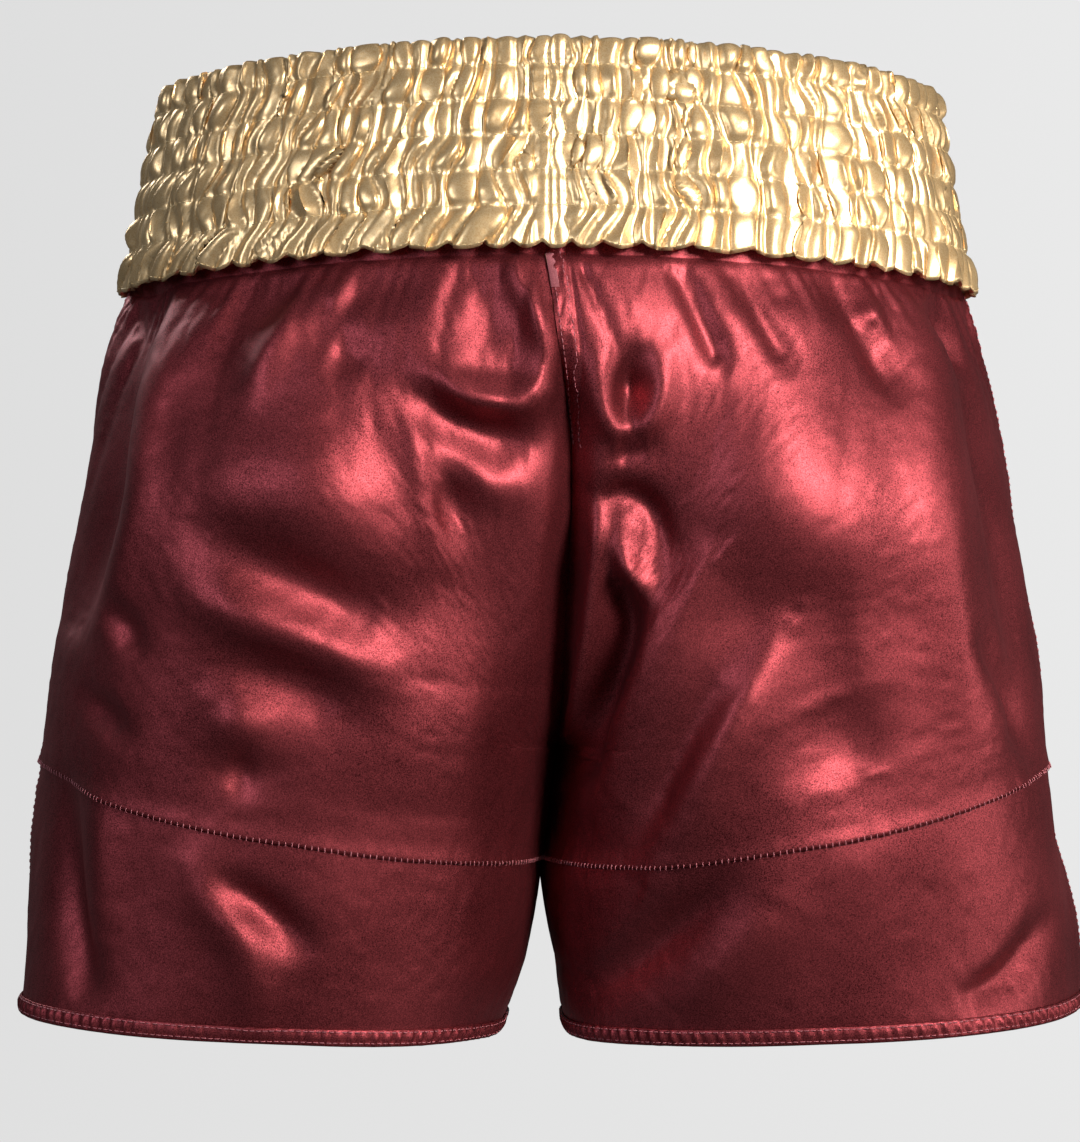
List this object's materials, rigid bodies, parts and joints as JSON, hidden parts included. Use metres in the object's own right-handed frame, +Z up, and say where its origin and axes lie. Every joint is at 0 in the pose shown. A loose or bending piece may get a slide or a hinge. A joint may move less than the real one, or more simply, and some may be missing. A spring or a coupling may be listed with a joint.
{
  "type": "boxing shorts",
  "caption": "Loose satin boxing shorts standing open as worn: wide gathered elastic waistband, full seat, short legs with curved lower panels and bound hems.",
  "frame": {"origin": "centre of the waist opening, level with the waistband's top edge at the sides", "axes": "+X towards the wearer's right, +Y towards the wearer's front, +Z up out of the waist opening"},
  "size_m": [0.4462, 0.2369, 0.3995],
  "materials": {
    "gold_satin": "gold polyester satin, gathered",
    "burgundy_satin": "burgundy polyester satin",
    "knitted_elastic": "white knitted elastic, matt",
    "woven_label": "blank woven label, soft satin"
  },
  "bodies": {
    "root": {"waistband_casing": "gold_satin", "elastic_1": "knitted_elastic", "elastic_2": "knitted_elastic", "elastic_3": "knitted_elastic", "elastic_4": "knitted_elastic", "elastic_5": "knitted_elastic", "elastic_6": "knitted_elastic", "care_label": "woven_label", "back_panel_right": "burgundy_satin", "back_panel_left": "burgundy_satin", "front_panel_right": "burgundy_satin", "front_panel_left": "burgundy_satin", "back_lower_panel_right": "burgundy_satin", "back_lower_panel_left": "burgundy_satin", "front_lower_panel_right": "burgundy_satin", "front_lower_panel_left": "burgundy_satin", "hem_binding_right": "burgundy_satin", "hem_binding_left": "burgundy_satin"}
  },
  "joints": []
}
